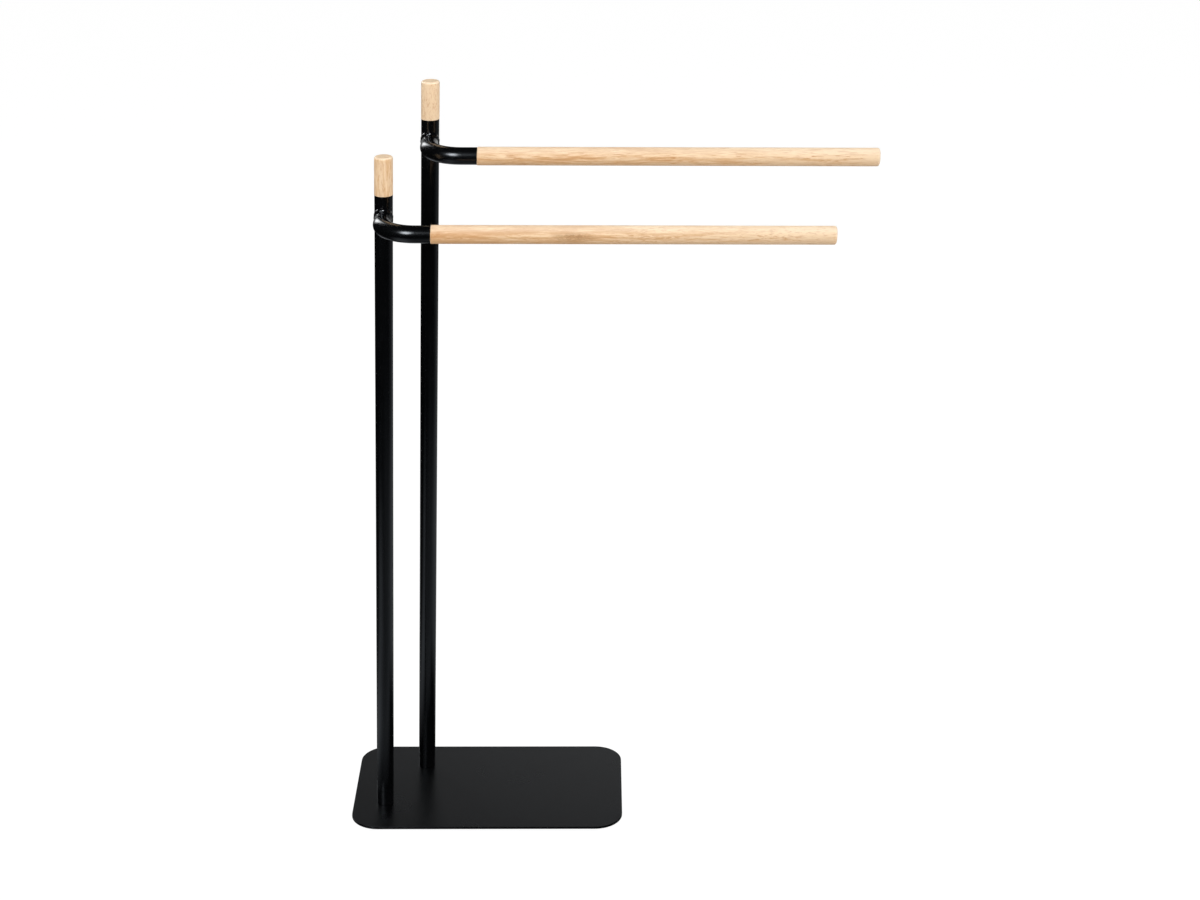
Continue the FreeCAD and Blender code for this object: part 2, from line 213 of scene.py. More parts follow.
def makeTubeMaterial(name, bottom, settings=tubeFinish):
    material, tree, shader, vector = newMaterial(name)
    cloud = noise(tree, vector, settings["cloudSize"], 3, 0.6)
    specks = noise(tree, vector, settings["speckSize"], 2, 0.6)
    rub = product(tree, remap(tree, cloud, *settings["rubPatches"]),
                  remap(tree, specks, *settings["rubSpecks"]))
    height = separate(tree, vector)["Z"]
    nearFoot = remap(tree, height, bottom, bottom + settings["dustHeight"], 1, 0)
    dust = product(tree, nearFoot, remap(tree, specks, *settings["dustSpecks"]))
    marks = calc(tree, "MAXIMUM", rub, dust)
    roughness = spread(tree, cloud, *settings["roughness"])
    setInputs(tree, shader, {
        "Base Color": blendColours(tree, marks, settings["colour"], settings["worn"]),
        "Roughness": total(tree, roughness, product(tree, dust, settings["dustRoughness"])),
        "Specular IOR Level": settings["gloss"],
        "Specular Tint": (*settings["sheen"], 1.0),
        "Coat Weight": settings["coat"],
        "Coat Roughness": settings["coatRoughness"],
    })
    peel = noise(tree, vector, settings["peelSize"], 2, 0.45)
    bump(tree, shader, peel, settings["peelDepth"])
    return material


# base plate: fine-textured satin powder coat, with a few pale specks of lint
plateFinish = {
    "colour": (0.0008, 0.0008, 0.0010),
    "light": (0.0026, 0.0027, 0.0031),
    "lintColour": (0.06, 0.06, 0.062),
    "sheen": (0.84, 0.92, 1.0),
    "roughness": (0.272, 0.288),
    "cloudSize": 13,
    "grainSize": 2600,
    "cellSize": 1430,
    "cellDepth": 0.55,
    "toneShare": 0.6,
    "tone": (0.2, 0.75, 0, 1),
    "lintSize": 820,
    "lint": (0.745, 0.79, 0, 0.5),
    "grainDepth": 0.00004,
}


def makePlateMaterial(settings=plateFinish):
    low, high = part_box("base_plate")
    material, tree, shader, vector = newMaterial("plateBlack", (low + high) / 2)
    cloud = noise(tree, vector, settings["cloudSize"], 2, 0.45)
    grain = noise(tree, vector, settings["grainSize"], 2, 0.55)
    inputs = {"Vector": vector, "Scale": settings["cellSize"]}
    cells = addNode(tree, "ShaderNodeTexVoronoi", inputs, feature="SMOOTH_F1").outputs["Distance"]
    texture = calc(tree, "SUBTRACT", grain, product(tree, cells, settings["cellDepth"]))
    tone = total(tree, product(tree, cloud, settings["toneShare"]),
                 product(tree, texture, settings["toneShare"]))
    tone = remap(tree, tone, *settings["tone"])
    colour = blendColours(tree, tone, settings["colour"], settings["light"])
    lint = remap(tree, noise(tree, vector, settings["lintSize"], 1, 0.4), *settings["lint"])
    setInputs(tree, shader, {
        "Base Color": blendColours(tree, lint, colour, settings["lintColour"]),
        "Roughness": spread(tree, cloud, *settings["roughness"]),
        "Specular Tint": (*settings["sheen"], 1.0),
    })
    bump(tree, shader, texture, settings["grainDepth"])
    return material


# Pale wood: turned rods and caps under a clear matt lacquer. A pair of sizes is along the grain
# and across it.
woodFinish = {
    "pale": (0.90, 0.675, 0.445),
    "honey": (0.79, 0.525, 0.295),
    "tan": (0.64, 0.345, 0.150),
    "toneStops": (0.38, 0.485, 0.61),     # where the tone is pale, honey and tan
    "pore": (0.57, 0.260, 0.085),
    "endGrain": (0.74, 0.53, 0.33),
    # painted light on the tops and edges, and painted shade underneath
    "paintedLight": (0.95, 0.83, 0.66),
    "paintedShade": (0.72, 0.43, 0.21),
    "figure": (0.43, 0.225, 0.09),
    "ringSpacing": 0.0042,
    "ringDepth": 0.09,
    "ringSway": 0.02,
    "pith": 0.055,            # the tree's heart, away from the rod's axis
    "sway": (9, 22),
    "broad": (14, 160),
    "streaks": (70, 900),
    "fibres": (130, 4200),
    "fibreDepth": 0.2,
    "crowd": (26, 130),
    "fleckAcross": 820,
    "flecks": (0.49, 0.68, 0, 1),
    "fleckCrowd": (0.36, 0.58, 0.3, 1.0),
    "poreSize": (330, 6500),
    "pores": (0.62, 0.72, 0, 1),
    "poreCrowd": (0.35, 0.65, 0.15, 0.8),
    "poreShare": 0.7,
    "figureReach": (0.030, 0.009, 0.0085),
    "figureEdge": (0.25, 1.0, 1, 0),
    "swirlSize": (150, 520),
    "swirl": (0.30, 0.6, 0.15, 0.85),
    # painted light on top and painted shade below, by how far a face looks up
    "paintedLightTop": (0.15, 0.85, 0, 0.38),
    "paintedShadeBelow": (0.2, -0.5, 0, 0.35),
    # by how far a face looks along the grain: a painted highlight on the edges, and darker cut ends
    "paintedLightEdge": (0.1, 0.5, 0, 0.22),
    "cutEnd": (0.75, 0.98, 0, 0.55),
    "roughness": (0.42, 0.58),
    "markRoughness": 0.15,
    "coat": 0.18,
    "coatRoughness": 0.32,
    "fibreRelief": 0.3,
    "poreRelief": 0.6,
    "poreDepth": 0.00007,
    "reliefStrength": 0.8,
    "seedStep": (0.37, 0.11, 0.23),       # how far one step of a seed moves the pattern
}


# noise drawn out along the grain
def grainNoise(tree, vector, sizes, detail, roughness, distortion=0.0):
    along, across = sizes
    drawnOut = calcVector(tree, "MULTIPLY", vector, (along, across, across))
    return noise(tree, drawnOut, 1, detail, roughness, distortion)


# Growth rings round a far heart, wandering along the length, from -0.5 to 0.5.
def growthRings(tree, vector, shifted, seed, settings):
    place = separate(tree, vector)
    across = total(tree, place["Y"], settings["pith"] * math.cos(seed))
    up = total(tree, place["Z"], settings["pith"] * math.sin(seed))
    radius = calc(tree, "SQRT", total(tree, squared(tree, across), squared(tree, up)))
    sway = grainNoise(tree, shifted, settings["sway"], 2, 0.5)
    radius = total(tree, radius, product(tree, sway, settings["ringSway"]))
    phase = product(tree, radius, 2 * math.pi / settings["ringSpacing"])
    return product(tree, calc(tree, "SINE", phase), 0.5)


# Short flecks and fine pores, crowded in some places and rare in others: both, and the pores alone.
def fleckMarks(tree, shifted, fleck, fleckDepth, settings):
    crowd = grainNoise(tree, shifted, settings["crowd"], 2, 0.5)
    flecks = grainNoise(tree, shifted, (fleck, settings["fleckAcross"]), 2, 0.6, 0.4)
    flecks = product(tree, remap(tree, flecks, *settings["flecks"]),
                     remap(tree, crowd, *settings["fleckCrowd"]))
    pores = grainNoise(tree, shifted, settings["poreSize"], 1, 0.5)
    pores = product(tree, remap(tree, pores, *settings["pores"]),
                    remap(tree, crowd, *settings["poreCrowd"]))
    marks = calc(tree, "MAXIMUM", product(tree, flecks, fleckDepth),
                 product(tree, pores, settings["poreShare"]))
    return marks, pores


# How much a darker swirl shows, where a twig once grew.
def figurePatch(tree, vector, shifted, figure, settings):
    offset = calcVector(tree, "SUBTRACT", vector, figure)
    shares = tuple(1 / reach for reach in settings["figureReach"])
    away = calcVector(tree, "LENGTH", calcVector(tree, "MULTIPLY", offset, shares))
    swirl = grainNoise(tree, shifted, settings["swirlSize"], 3, 0.65, 1.5)
    return product(tree, remap(tree, away, *settings["figureEdge"]),
                   remap(tree, swirl, *settings["swirl"]))


# The vector's X runs along the grain, from the piece's centre. Each piece has its own seed, and
# paler is how much its colour lightens at its start and at its end. fleck is the flecks' size along
# the grain, and figure is the place of a darker swirl, or None.
def makeWoodMaterial(name, centre, turn, halfLength, seed, paler, fleck, fleckDepth, figure=None,
                     settings=woodFinish):
    material, tree, shader, vector = newMaterial(name, centre, turn)
    shifted = calcVector(tree, "ADD", vector, tuple(seed * step for step in settings["seedStep"]))
    broad = grainNoise(tree, shifted, settings["broad"], 3, 0.55)
    streaks = grainNoise(tree, shifted, settings["streaks"], 3, 0.6, 0.6)
    fibres = grainNoise(tree, shifted, settings["fibres"], 2, 0.6)
    rings = growthRings(tree, vector, shifted, seed, settings)
    along = separate(tree, vector)["X"]
    tone = total(tree, product(tree, broad, 0.5), product(tree, streaks, 0.5),
                 product(tree, rings, settings["ringDepth"]),
                 product(tree, calc(tree, "SUBTRACT", fibres, 0.5), settings["fibreDepth"]))
    tone = calc(tree, "SUBTRACT", tone, remap(tree, along, -halfLength, halfLength, *paler))
    shades = [settings[shade] for shade in ("pale", "honey", "tan")]
    colour = colourRamp(tree, tone, list(zip(settings["toneStops"], shades)))
    marks, pores = fleckMarks(tree, shifted, fleck, fleckDepth, settings)
    colour = blendColours(tree, marks, colour, settings["pore"])
    if figure:
        patch = figurePatch(tree, vector, shifted, figure, settings)
        colour = blendColours(tree, patch, colour, settings["figure"])
    # painted light: paler on faces that look up, as if lit from above, and painted shade: deeper on faces
    # that look down
    normal = addNode(tree, "ShaderNodeNewGeometry").outputs["Normal"]
    upwards = separate(tree, normal)["Z"]
    colour = blendColours(tree, remap(tree, upwards, *settings["paintedLightTop"]), colour, settings["paintedLight"])
    colour = blendColours(tree, remap(tree, upwards, *settings["paintedShadeBelow"]), colour, settings["paintedShade"])
    # edges are painted paler, a painted highlight, and cut ends drink more lacquer and are darker
    grainWay = (1, 0, 0) if turn == (0, 0, 0) else (0, 0, 1)
    facing = calc(tree, "ABSOLUTE", calcVector(tree, "DOT_PRODUCT", normal, grainWay))
    colour = blendColours(tree, remap(tree, facing, *settings["paintedLightEdge"]), colour, settings["paintedLight"])
    colour = blendColours(tree, remap(tree, facing, *settings["cutEnd"]), colour, settings["endGrain"])
    roughness = spread(tree, broad, *settings["roughness"])
    setInputs(tree, shader, {
        "Base Color": colour,
        "Roughness": total(tree, roughness, product(tree, marks, settings["markRoughness"])),
        "Coat Weight": settings["coat"],
        "Coat Roughness": settings["coatRoughness"],
    })
    relief = calc(tree, "SUBTRACT", product(tree, fibres, settings["fibreRelief"]),
                  product(tree, pores, settings["poreRelief"]))
    bump(tree, shader, relief, settings["poreDepth"], settings["reliefStrength"])
    return material


# hidden hardware: rubber pads, and zinc-plated plugs, screws and studs
rubberFinish = {
    "dark": (0.012, 0.012, 0.012),
    "light": (0.032, 0.031, 0.03),
    "cloudSize": 160,
    "cloud": (0.35, 0.7, 0, 1),
    "grainSize": 3200,
    "roughness": (0.66, 0.86),
    "grainDepth": 0.00008,
}
zincFinish = {
    "dark": (0.52, 0.53, 0.55),
    "light": (0.72, 0.72, 0.70),
    "cloudSize": 260,
    "scratchSize": 900,
    "scratchSqueeze": (1, 1, 12),         # the waves are this much finer along X, Y and Z
    "roughness": (0.24, 0.46),
    "scratchDepth": 0.00001,
}


def makeRubberMaterial(settings=rubberFinish):
    material, tree, shader, vector = newMaterial("padRubber")
    grain = noise(tree, vector, settings["grainSize"], 3, 0.6)
    cloud = remap(tree, noise(tree, vector, settings["cloudSize"], 3, 0.6), *settings["cloud"])
    setInputs(tree, shader, {
        "Base Color": blendColours(tree, cloud, settings["dark"], settings["light"]),
        "Roughness": spread(tree, grain, *settings["roughness"]),
    })
    bump(tree, shader, grain, settings["grainDepth"])
    return material


def makeZincMaterial(settings=zincFinish):
    material, tree, shader, vector = newMaterial("zincPlating")
    cloud = noise(tree, vector, settings["cloudSize"], 3, 0.6)
    squeezed = calcVector(tree, "MULTIPLY", vector, settings["scratchSqueeze"])
    scratches = noise(tree, squeezed, settings["scratchSize"], 2, 0.6)
    setInputs(tree, shader, {
        "Base Color": blendColours(tree, cloud, settings["dark"], settings["light"]),
        "Metallic": 1.0,
        "Roughness": spread(tree, scratches, *settings["roughness"]),
    })
    bump(tree, shader, scratches, settings["scratchDepth"])
    return material


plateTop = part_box("base_plate")[1].z
tubeBlack = makeTubeMaterial("tubeBlack", plateTop)
weldBlack = makeTubeMaterial("weldBlack", plateTop, weldFinish)
rubber = makeRubberMaterial()
zinc = makeZincMaterial()
dress("base_plate", makePlateMaterial())
for end in ends:
    for side in ("left", "right"):
        dress("foot_pad_%s_%s" % (end, side), rubber)
    for piece in ("post", "arm"):
        dress("%s_%s" % (end, piece), tubeBlack)
    for piece in ("post_plug", "arm_plug"):
        dress("%s_%s" % (end, piece), zinc)

barWood = {
    "front": {"seed": 2.0, "paler": (-0.07, 0.14), "fleck": 150, "fleckDepth": 0.75,
              "figure": (-0.060, -0.0092, -0.0008)},
    "rear": {"seed": 5.3, "paler": (-0.03, 0.13), "fleck": 75, "fleckDepth": 0.85, "figure": None},
}
capWood = {
    "front": {"seed": 7.1, "paler": (0.03, 0.07), "fleck": 150, "fleckDepth": 0.60},
    "rear": {"seed": 9.4, "paler": (0.20, 0.20), "fleck": 250, "fleckDepth": 0.50},
}
alongX = (0, 0, 0)
alongZ = (0, math.radians(-90), 0)
for end in ends:
    low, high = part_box(end + "_bar")
    dress(end + "_bar", makeWoodMaterial(end + "BarWood", (low + high) / 2, alongX,
                                         (high.x - low.x) / 2, **barWood[end]))
    low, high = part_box(end + "_cap")
    dress(end + "_cap", makeWoodMaterial(end + "CapWood", (low + high) / 2, alongZ,
                                         (high.z - low.z) / 2, **capWood[end]))
print("stage 2: finishes are on the frame's pieces")


# A Geometry Nodes tree with named inputs of the kinds given, and what those inputs carry.
def newGeometryTree(name, kinds):
    tree = bpy.data.node_groups.new(name, "GeometryNodeTree")
    tree.interface.new_socket("Geometry", in_out="OUTPUT", socket_type="NodeSocketGeometry")
    for label, kind in kinds.items():
        tree.interface.new_socket(label, in_out="INPUT", socket_type="NodeSocket" + kind)
    return tree, addNode(tree, "NodeGroupInput").outputs


def endGeometryTree(tree, geometry, material):
    smooth = addNode(tree, "GeometryNodeSetShadeSmooth", {"Geometry": geometry}).outputs[0]
    real = addNode(tree, "GeometryNodeRealizeInstances", {"Geometry": smooth}).outputs[0]
    inputs = {"Geometry": real, "Material": material}
    painted = addNode(tree, "GeometryNodeSetMaterial", inputs).outputs[0]
    addNode(tree, "NodeGroupOutput", {0: painted})


# Runs a tree on a mesh, keeps the plain mesh that it makes, and points its faces outwards.
def growPiece(name, tree, values, start=None):
    piece = bpy.data.objects.new(name, start or bpy.data.meshes.new(name))
    bpy.context.scene.collection.objects.link(piece)
    modifier = piece.modifiers.new("shape", "NODES")
    modifier.node_group = tree
    for item in tree.interface.items_tree:
        if item.in_out == "INPUT" and item.name in values:
            modifier[item.identifier] = values[item.name]
    graph = bpy.context.evaluated_depsgraph_get()
    grown = bpy.data.meshes.new_from_object(piece.evaluated_get(graph))
    piece.modifiers.remove(modifier)
    piece.data = grown
    shape = bmesh.new()
    shape.from_mesh(grown)
    bmesh.ops.recalc_face_normals(shape, faces=shape.faces)
    shape.to_mesh(grown)
    shape.free()
    return piece


# Weld beads: a rippled bead along the saddle line of arm and post. These are the tree's inputs.
weldBead = {
    "Leg": 0.003,             # reach along each tube
    "Crown": 0.0006,          # rise of the bead's face
    "Skin": 0.00003,          # off the tubes
    "Ripples": 19,
    "Ripple Depth": 0.00034,
    "Ripple Bow": 0.9,        # how far each ripple bows back at its edges, in ripples
    "Around": 920,            # steps along the bead
    "Across": 26,             # steps round its section
}
weldShape = {
    "faceShare": 0.7,         # the rounded face takes this share of the section's steps
    "cornerShare": 0.85,      # and the hidden corner is this far on
    "unevenSize": 330,        # the ripples swell and shrink, in waves per metre
    "uneven": (0.9, 0.45),    # by noise times the first number, plus the second
    "seam": 0.000002,         # points this close are one
}


# The tree lays a grid round the joint: one way it follows the angle round the arm, the other
# way the bead's section, from the post over the rounded face to the arm and back underneath.
def makeWeldTree():
    kinds = dict.fromkeys(("Post Radius", "Arm Radius", "Leg", "Crown", "Skin", "Ripples",
                           "Ripple Depth", "Ripple Bow"), "Float")
    kinds |= {"Around": "Int", "Across": "Int", "Centre": "Vector", "Material": "Material"}
    tree, given = newGeometryTree("weldBead", kinds)
    inputs = {"Size X": 1.0, "Size Y": 1.0, "Vertices X": given["Around"], "Vertices Y": given["Across"]}
    grid = addNode(tree, "GeometryNodeMeshGrid", inputs).outputs["Mesh"]
    spot = separate(tree, addNode(tree, "GeometryNodeInputPosition").outputs[0])
    turn = product(tree, total(tree, spot["X"], 0.5), 2 * math.pi)
    section = total(tree, spot["Y"], 0.5)

    # the joint's root at this angle
    cosine = calc(tree, "COSINE", turn)
    sine = calc(tree, "SINE", turn)
    armOut = combine(tree, x=cosine, z=sine)
    side = product(tree, given["Arm Radius"], cosine)
    depth = calc(tree, "SUBTRACT", squared(tree, given["Post Radius"]), squared(tree, side))
    depth = calc(tree, "SQRT", depth)
    flatRoot = combine(tree, x=side, y=product(tree, depth, -1.0))
    postOut = calcVector(tree, "NORMALIZE", flatRoot)
    lift = combine(tree, z=product(tree, given["Arm Radius"], sine))
    root = calcVector(tree, "ADD", flatRoot, lift)
    lean = calcVector(tree, "DOT_PRODUCT", armOut, postOut)
    alongPost = calcVector(tree, "SUBTRACT", armOut, calcVector(tree, "SCALE", postOut, lean))
    alongPost = calcVector(tree, "NORMALIZE", alongPost)
    outward = calcVector(tree, "NORMALIZE", calcVector(tree, "ADD", armOut, postOut))

    # the bead's foot on the post, just off the tube
    foot = calcVector(tree, "ADD", root, calcVector(tree, "SCALE", alongPost, given["Leg"]))
    foot = separate(tree, foot)
    flatFoot = calcVector(tree, "NORMALIZE", combine(tree, foot["X"], foot["Y"]))
    flatFoot = calcVector(tree, "SCALE", flatFoot, total(tree, given["Post Radius"], given["Skin"]))
    onPost = calcVector(tree, "ADD", flatFoot, combine(tree, z=foot["Z"]))
    # its foot on the arm, and its hidden corner
    forward = combine(tree, y=product(tree, given["Leg"], -1.0))
    onArm = calcVector(tree, "ADD", root, calcVector(tree, "SCALE", armOut, given["Skin"]))
    onArm = calcVector(tree, "ADD", onArm, forward)
    cornerStep = product(tree, given["Skin"], math.sqrt(2))
    corner = calcVector(tree, "ADD", root, calcVector(tree, "SCALE", outward, cornerStep))

    # the rounded face: straight from foot to foot, and arched outwards
    onFace = calc(tree, "DIVIDE", section, weldShape["faceShare"], clamp=True)
    straight = mix(tree, "VECTOR", onFace, onPost, onArm)
    arch = product(tree, onFace, calc(tree, "SUBTRACT", 1.0, onFace), 4.0, given["Crown"])
    # ripples: each one bows back at its edges, and they die out at the feet
    bow = squared(tree, calc(tree, "MULTIPLY_ADD", onFace, 2.0, -1.0))
    count = calc(tree, "DIVIDE", product(tree, turn, given["Ripples"]), 2 * math.pi)
    count = total(tree, count, product(tree, bow, given["Ripple Bow"]))
    ripple = squared(tree, calc(tree, "SINE", product(tree, count, math.pi)))
    uneven = noise(tree, calcVector(tree, "SCALE", root, weldShape["unevenSize"]), 1.0, 1.0)
    uneven = calc(tree, "MULTIPLY_ADD", uneven, *weldShape["uneven"])
    fade = calc(tree, "SUBTRACT", 1.0, squared(tree, bow))
    rise = total(tree, arch, product(tree, ripple, given["Ripple Depth"], uneven, fade))
    onTop = calcVector(tree, "ADD", straight, calcVector(tree, "SCALE", outward, rise))

    # underneath: from the arm's foot to the corner, then up the post to where it began
    toCorner = progress(tree, section, weldShape["faceShare"], weldShape["cornerShare"])
    toPost = progress(tree, section, weldShape["cornerShare"], 1.0)
    place = mix(tree, "VECTOR", toCorner, onTop, corner)
    place = mix(tree, "VECTOR", toPost, place, onPost)
    place = calcVector(tree, "ADD", place, given["Centre"])
    shaped = addNode(tree, "GeometryNodeSetPosition", {"Geometry": grid, "Position": place}).outputs[0]
    inputs = {"Geometry": shaped, "Distance": weldShape["seam"]}
    closed = addNode(tree, "GeometryNodeMergeByDistance", inputs).outputs[0]
    endGeometryTree(tree, closed, given["Material"])
    return tree


weldTree = makeWeldTree()
for end in ends:
    postLow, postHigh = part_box(end + "_post")
    armLow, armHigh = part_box(end + "_arm")
    centre = (postLow + postHigh) / 2
    centre.z = (armLow.z + armHigh.z) / 2
    values = dict(weldBead)
    values["Post Radius"] = (postHigh.x - postLow.x) / 2
    values["Arm Radius"] = (armHigh.z - armLow.z) / 2
    values["Centre"] = centre
    values["Material"] = weldBlack
    bead = growPiece(end + "WeldBead", weldTree, values)
    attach(bead, "root")
    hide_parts(end + "_arm_weld")
    print("weld bead,", end, "with", len(bead.data.polygons), "faces")
print("stage 3: the weld beads are made")


# Foot screws and bar studs: turned blanks with a helical thread. These are the tree's inputs.
thread = {
    "Pitch": 0.001,
    "Depth": 0.00058,
    "Run Out": 0.0007,        # the thread dies out over this length at both ends
}
threadShape = {
    "round": 48,              # steps round the rod
    "alongPitch": 9,          # rings to a pitch
    "flats": (0.14, 0.88),    # the wave is cut off here, for flat crests and roots
    "onSide": 0.0001,         # points this close to the radius are on the rod's side
    "sharp": 35,              # edges that turn more than this many degrees aren't smoothed
}
footScrew = {
    "shank": 0.003,
    "headHeight": 0.002,
    "headRound": 0.0006,
    "headSteps": 6,
    "socketFlats": 0.004,
    "socketDepth": 0.0026,
    "threadStart": 0.0005,
    "tip": 0.0008,
}
barStud = {"tip": 0.0008}


# The tree sinks a thread into the rod's side, round the piece's own Z.
def makeThreadTree():
    kinds = {"Geometry": "Geometry"}
    kinds |= dict.fromkeys(("Radius", "From", "To", "Pitch", "Depth", "Run Out"), "Float")
    kinds["Material"] = "Material"
    tree, given = newGeometryTree("thread", kinds)
    x, y, z = separate(tree, addNode(tree, "GeometryNodeInputPosition").outputs[0])
    outward = combine(tree, x, y)
    # a wave that climbs one pitch with each turn, with flat crests and roots
    turn = calc(tree, "DIVIDE", calc(tree, "ARCTAN2", y, x), 2 * math.pi)
    climb = calc(tree, "SUBTRACT", calc(tree, "DIVIDE", z, given["Pitch"]), turn)
    climb = calc(tree, "FRACT", climb)
    wave = calc(tree, "ABSOLUTE", calc(tree, "MULTIPLY_ADD", climb, 2.0, -1.0))
    wave = progress(tree, wave, *threadShape["flats"])
    # only on the rod's own side, and between the thread's two ends
    away = calcVector(tree, "LENGTH", outward)
    onRod = calc(tree, "COMPARE", away, given["Radius"], threadShape["onSide"])
    begun = progress(tree, z, given["From"], total(tree, given["From"], given["Run Out"]))
    ahead = progress(tree, z, given["To"], calc(tree, "SUBTRACT", given["To"], given["Run Out"]))
    depth = product(tree, wave, given["Depth"], onRod, begun, ahead)
    inward = calcVector(tree, "NORMALIZE", outward)
    inward = calcVector(tree, "SCALE", inward, product(tree, depth, -1.0))
    inputs = {"Geometry": given["Geometry"], "Offset": inward}
    cut = addNode(tree, "GeometryNodeSetPosition", inputs).outputs[0]
    endGeometryTree(tree, cut, given["Material"])
    return tree


# A closed shape turned round Z, with a ring for each (radius, height) of the profile and one point
# where it meets the axis. The rings numbered in hexagon are six-sided.
def turnShape(name, profile, hexagon=()):
    steps = threadShape["round"]
    sixth = math.pi / 3
    shape = bmesh.new()
    rings = []
    for number, (radius, height) in enumerate(profile):
        if radius == 0:
            rings.append([shape.verts.new((0, 0, height))] * steps)
            continue
        ring = []
        for step in range(steps):
            angle = 2 * math.pi * step / steps
            fromFlat = (angle + sixth / 2) % sixth - sixth / 2
            reach = radius / math.cos(fromFlat) if number in hexagon else radius
            ring.append(shape.verts.new((reach * math.cos(angle), reach * math.sin(angle), height)))
        rings.append(ring)
    for low, high in zip(rings, rings[1:]):
        for step in range(steps):
            after = (step + 1) % steps
            # at the axis two corners are the same point
            shape.faces.new(dict.fromkeys((low[step], low[after], high[after], high[step])))
    mesh = bpy.data.meshes.new(name)
    shape.to_mesh(mesh)
    shape.free()
    return mesh


# Rings close enough for the thread, from one height to another.
def threadRings(radius, low, high):
    count = math.ceil((high - low) / thread["Pitch"] * threadShape["alongPitch"])
    return [(radius, low + (high - low) * step / count) for step in range(count + 1)]


# Cuts the thread over a span of heights, and puts the piece in its node's place.
def finishThreaded(name, node, mesh, radius, span, turn, place):
    values = dict(thread, Radius=radius, From=span[0], To=span[1], Material=zinc)
    piece = growPiece(name, threadTree, values, mesh)
    piece.data.set_sharp_from_angle(angle=math.radians(threadShape["sharp"]))
    piece.data.transform(Matrix.Translation(place) @ turn)
    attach(piece, "root")
    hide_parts(node)


# The heights are from the underside of the plate: the head hangs below it, the shank stands up.
def makeFootScrew(end, settings=footScrew):
    low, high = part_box(end + "_foot_screw")
    head = (high.x - low.x) / 2
    shank = settings["shank"]
    tip = settings["tip"]
    bend = settings["headRound"]
    bottom = -settings["headHeight"]
    top = high.z - low.z + bottom
    socketFloor = bottom + settings["socketDepth"]
    flats = settings["socketFlats"] / 2
    profile = [(0, socketFloor), (flats, socketFloor), (flats, bottom)]
    for step in range(settings["headSteps"] + 1):
        angle = math.radians(90 / settings["headSteps"] * step)
        profile.append((head - bend + bend * math.sin(angle), bottom + bend - bend * math.cos(angle)))
    profile += [(head, 0), (shank, 0)]
    profile += threadRings(shank, 0, top - tip)[1:] + [(shank - tip, top), (0, top)]
    mesh = turnShape(end + "FootScrew", profile, hexagon=(1, 2))
    place = ((low.x + high.x) / 2, (low.y + high.y) / 2, low.z - bottom)
    span = (settings["threadStart"], top - tip)
    finishThreaded(end + "FootScrew", end + "_foot_screw", mesh, shank, span, Matrix(), place)


def makeBarStud(end, settings=barStud):
    low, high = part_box(end + "_bar_stud")
    radius = (high.z - low.z) / 2
    length = high.x - low.x
    tip = settings["tip"]
    profile = [(0, 0), (radius - tip, 0)] + threadRings(radius, tip, length - tip)
    profile += [(radius - tip, length), (0, length)]
    mesh = turnShape(end + "BarStud", profile)
    place = (low.x, (low.y + high.y) / 2, (low.z + high.z) / 2)
    onSide = Matrix.Rotation(math.radians(90), 4, "Y")
    finishThreaded(end + "BarStud", end + "_bar_stud", mesh, radius, (tip, length - tip), onSide, place)


threadTree = makeThreadTree()
for end in ends:
    makeFootScrew(end)
    makeBarStud(end)
print("stage 4: the screws and studs are threaded")


# A white photo studio: a wide floor and an even sky. Metres, and strengths of light.
studio = {
    "floorSize": 14.0,
    "floorDrop": 0.0004,      # just under the pads
    "floorColour": 0.72,
    "floorWhite": 0.86,       # how much of the floor's own white the camera sees
    "floorGlow": 1.12,
    "sky": 0.27,
    "skyInGloss": 0.012,
    # what gloss sees of the floor: pools of light, each with its middle, reach and strength
    "pools": (((-0.66, -0.40), 0.50, 0.36), ((0.10, -0.50), 0.95, 0.15), ((0.50, 0.10), 0.75, 0.34),
              ((-0.14, 0.02), 0.46, 0.28), ((-0.25, 0.80), 0.80, 0.60), ((2.20, 0.60), 2.00, 0.16),
              ((-0.47, -0.08), 0.27, 0.32), ((0.80, 0.90), 0.90, 0.26)),
    "poolColour": (0.92, 0.96, 1.0),
    "betweenPools": 0.006,
    "nearPlate": 0.16,        # the floor is in shadow this close to the plate
    "shadow": 0.12,           # what is left of its light at the plate's edge
}
plainWhite = (1, 1, 1, 1)


def mixShaders(tree, amount, first, second):
    return addNode(tree, "ShaderNodeMixShader", {0: amount, 1: first, 2: second}).outputs[0]


# One shader for the camera, one for gloss and one for all other light.
def splitByRay(tree, other, inGloss, seen):
    path = addNode(tree, "ShaderNodeLightPath").outputs
    shader = mixShaders(tree, path["Is Glossy Ray"], other, inGloss)
    return mixShaders(tree, path["Is Camera Ray"], shader, seen)


# What gloss sees of the floor: the pools of light, darker close to the plate.
def floorInGloss(tree):
    place = addNode(tree, "ShaderNodeTexCoord").outputs["Object"]
    light = studio["betweenPools"]
    for middle, reach, level in studio["pools"]:
        away = calcVector(tree, "DISTANCE", place, (*middle, 0.0))
        light = total(tree, remap(tree, away, 0.0, reach, level, 0.0), light)
    low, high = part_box("base_plate")
    beyond = calcVector(tree, "SUBTRACT", place, tuple((low + high) / 2))
    beyond = calcVector(tree, "SUBTRACT", calcVector(tree, "ABSOLUTE", beyond), tuple((high - low) / 2))
    beyond = calcVector(tree, "LENGTH", calcVector(tree, "MAXIMUM", beyond, (0, 0, 0)))
    shadow = remap(tree, beyond, 0.0, studio["nearPlate"], studio["shadow"], 1.0)
    inputs = {"Color": (*studio["poolColour"], 1.0), "Strength": product(tree, light, shadow)}
    return addNode(tree, "ShaderNodeEmission", inputs).outputs[0]


